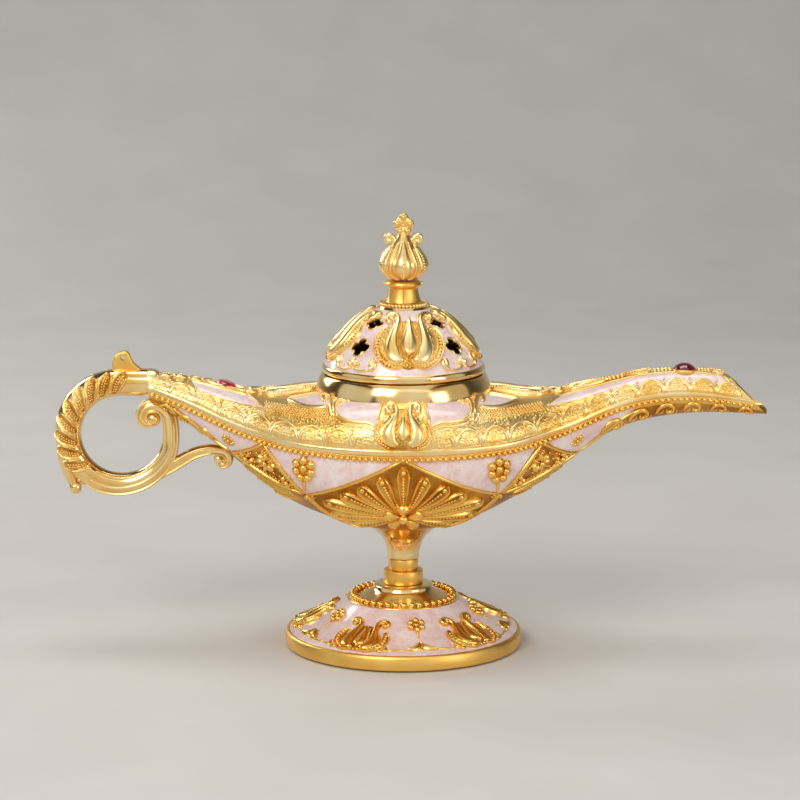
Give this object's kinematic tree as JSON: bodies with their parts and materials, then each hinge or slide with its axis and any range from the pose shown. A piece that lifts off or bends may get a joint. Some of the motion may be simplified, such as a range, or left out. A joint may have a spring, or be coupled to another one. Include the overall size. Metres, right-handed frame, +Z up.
{
  "type": "genie lamp incense burner",
  "caption": "Gold metal genie lamp on a round foot, with pearl-pink enamel panels, a looped handle, a long spout and a pierced domed lid that lifts off to take incense.",
  "frame": {"origin": "centre of the underside of the felt pad that the lamp stands on", "axes": "+Z up, +X towards the spout, -Y towards the viewer of the picture"},
  "size_m": [0.2113, 0.072, 0.1296],
  "materials": {
    "gold": "polished gold plate with stippled grounds",
    "enamel": "glossy pearl enamel",
    "ruby": "polished",
    "felt": "matt felt",
    "steel": "plain"
  },
  "bodies": {
    "lamp": {"foot_casting": "gold", "stem_collar": "gold", "stem_neck": "gold", "lower_bowl": "gold", "upper_shell": "gold", "handle": "gold", "foot_enamel": "enamel", "enamel_handle_end_front": "enamel", "enamel_handle_end_back": "enamel", "enamel_handle_side_front": "enamel", "enamel_handle_side_back": "enamel", "enamel_spout_side_front": "enamel", "enamel_spout_side_back": "enamel", "enamel_spout_end_front": "enamel", "enamel_spout_end_back": "enamel", "enamel_handle_top_front": "enamel", "enamel_handle_top_back": "enamel", "enamel_spout_top_front": "enamel", "enamel_spout_top_back": "enamel", "enamel_shoulder_mid_spout_front": "enamel", "enamel_shoulder_mid_spout_back": "enamel", "enamel_shoulder_mid_handle_front": "enamel", "enamel_shoulder_mid_handle_back": "enamel", "enamel_shoulder_side_spout_front": "enamel", "enamel_shoulder_side_spout_back": "enamel", "enamel_shoulder_side_handle_front": "enamel", "enamel_shoulder_side_handle_back": "enamel", "gem_spout": "ruby", "gem_handle": "ruby", "felt_pad": "felt", "tie_screw": "steel", "tie_washer": "steel"},
    "lid": {"lid_dome": "gold", "lid_enamel": "enamel", "finial_sleeve": "gold", "finial_bulb": "gold", "finial_stud": "steel", "finial_nut": "steel"}
  },
  "joints": [
    {"name": "lid_lift", "type": "slide", "parent": "lamp", "child": "lid", "axis": [0, 0, 1], "range_m": [0, 0.06]}
  ]
}
